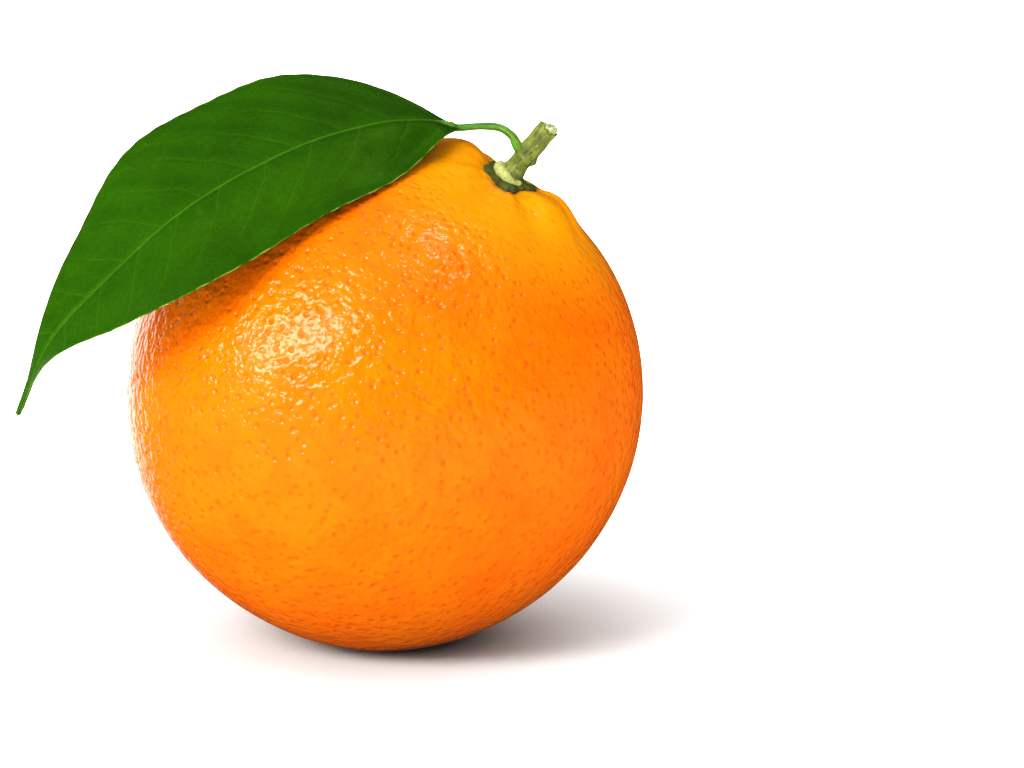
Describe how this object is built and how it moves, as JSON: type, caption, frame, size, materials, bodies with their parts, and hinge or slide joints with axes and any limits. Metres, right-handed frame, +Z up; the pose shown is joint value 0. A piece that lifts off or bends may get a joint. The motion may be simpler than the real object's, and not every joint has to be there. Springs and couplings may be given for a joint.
{
  "type": "orange",
  "caption": "Whole sweet orange with dimpled rind, its calyx, a cut end of twig and one arched leaf on its petiole, resting on a small flat spot.",
  "frame": {"origin": "centre of the small flat spot that the fruit rests on", "axes": "+Z up; +X the side that the stem end leans to; the leaf lies over the fruit towards -X; -Y the front"},
  "size_m": [0.0909, 0.0756, 0.0842],
  "materials": {
    "rind": "waxy orange citrus rind, dimpled with oil glands, soft gloss",
    "calyx": "dull green button with a paler, corky collar",
    "twig": "olive green bark with fine ridges and a pale, frayed cut end",
    "petiole": "smooth, fresh green stalk",
    "leaf": "dark green waxy upper side with pale veins, paler matt underside"
  },
  "bodies": {
    "root": {"fruit": "rind", "calyx": "calyx", "stem": "twig", "petiole": "petiole", "leaf": "leaf"}
  },
  "joints": []
}
